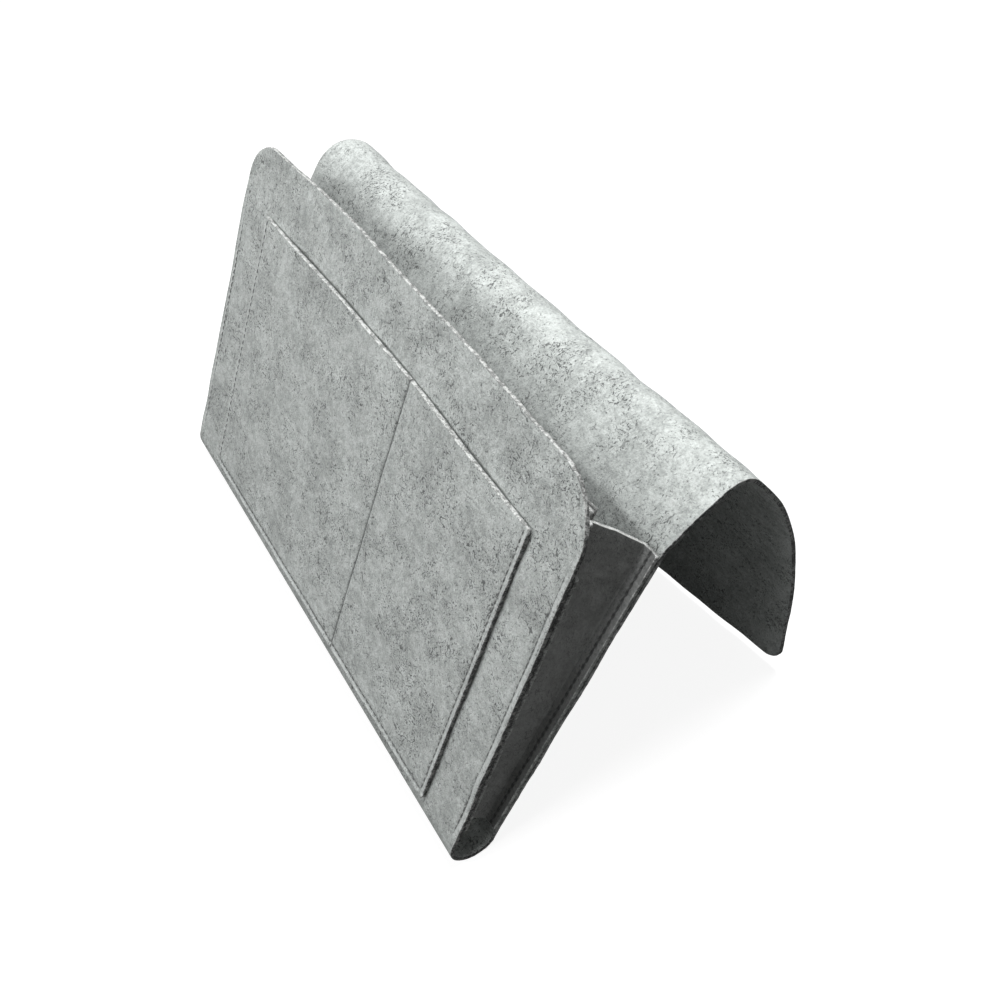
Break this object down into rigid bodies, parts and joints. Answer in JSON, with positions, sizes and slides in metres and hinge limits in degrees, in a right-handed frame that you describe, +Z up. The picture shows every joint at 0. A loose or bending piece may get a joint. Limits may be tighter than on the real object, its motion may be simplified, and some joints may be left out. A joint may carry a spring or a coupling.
{
  "type": "hanging felt pocket",
  "caption": "Grey felt pocket with a fold-over flap that hangs on a bed, sofa arm or board; gusseted main pocket and a divided patch pocket on the front.",
  "frame": {"origin": "on the floor, under the middle of the standing part", "axes": "+X along the width towards the right end, -Y towards the front with the patch pocket, +Z up"},
  "size_m": [0.32, 0.1882, 0.1904],
  "materials": {
    "felt": "heather grey pressed felt, matte, with darker fibres",
    "gusset_felt": "thin heather grey pressed felt, matte",
    "thread": "grey polyester sewing thread"
  },
  "bodies": {
    "back": {"back_panel": "felt", "bottom_fold": "felt", "left_gusset": "gusset_felt", "right_gusset": "gusset_felt", "back_left_needle_thread": "thread", "back_left_bobbin_thread": "thread", "back_right_needle_thread": "thread", "back_right_bobbin_thread": "thread"},
    "front": {"front_panel": "felt", "patch_pocket": "felt", "front_left_needle_thread": "thread", "front_left_bobbin_thread": "thread", "front_right_needle_thread": "thread", "front_right_bobbin_thread": "thread", "patch_needle_thread": "thread", "patch_bobbin_thread": "thread", "divider_needle_thread": "thread", "divider_bobbin_thread": "thread"},
    "crest": {"crest_bend": "felt"},
    "flap": {"flap": "felt"}
  },
  "joints": [
    {"name": "pocket_open", "type": "hinge", "parent": "back", "child": "front", "pos_m": [0, -0.08582, 0.00571], "axis": [1, 0, 0], "range_deg": [-8, 1.5], "stiffness_Nm_per_rad": 4, "deforming": ["bottom_fold", "left_gusset", "right_gusset"]},
    {"name": "crest_fold", "type": "hinge", "parent": "back", "child": "crest", "pos_m": [0, 0.03259, 0.15693], "axis": [0.9996, 0.0254, -0.0099], "range_deg": [-20, 69], "stiffness_Nm_per_rad": 0.4, "deforming": ["crest_bend"]},
    {"name": "flap_fold", "type": "hinge", "parent": "crest", "child": "flap", "pos_m": [0, 0.05796, 0.1551], "axis": [0.9991, 0.0414, -0.0077], "range_deg": [-20, 69], "stiffness_Nm_per_rad": 0.4, "deforming": ["crest_bend"]}
  ],
  "couplings": [
    {"joint": "crest_fold", "follows": "flap_fold", "ratio": 1}
  ]
}
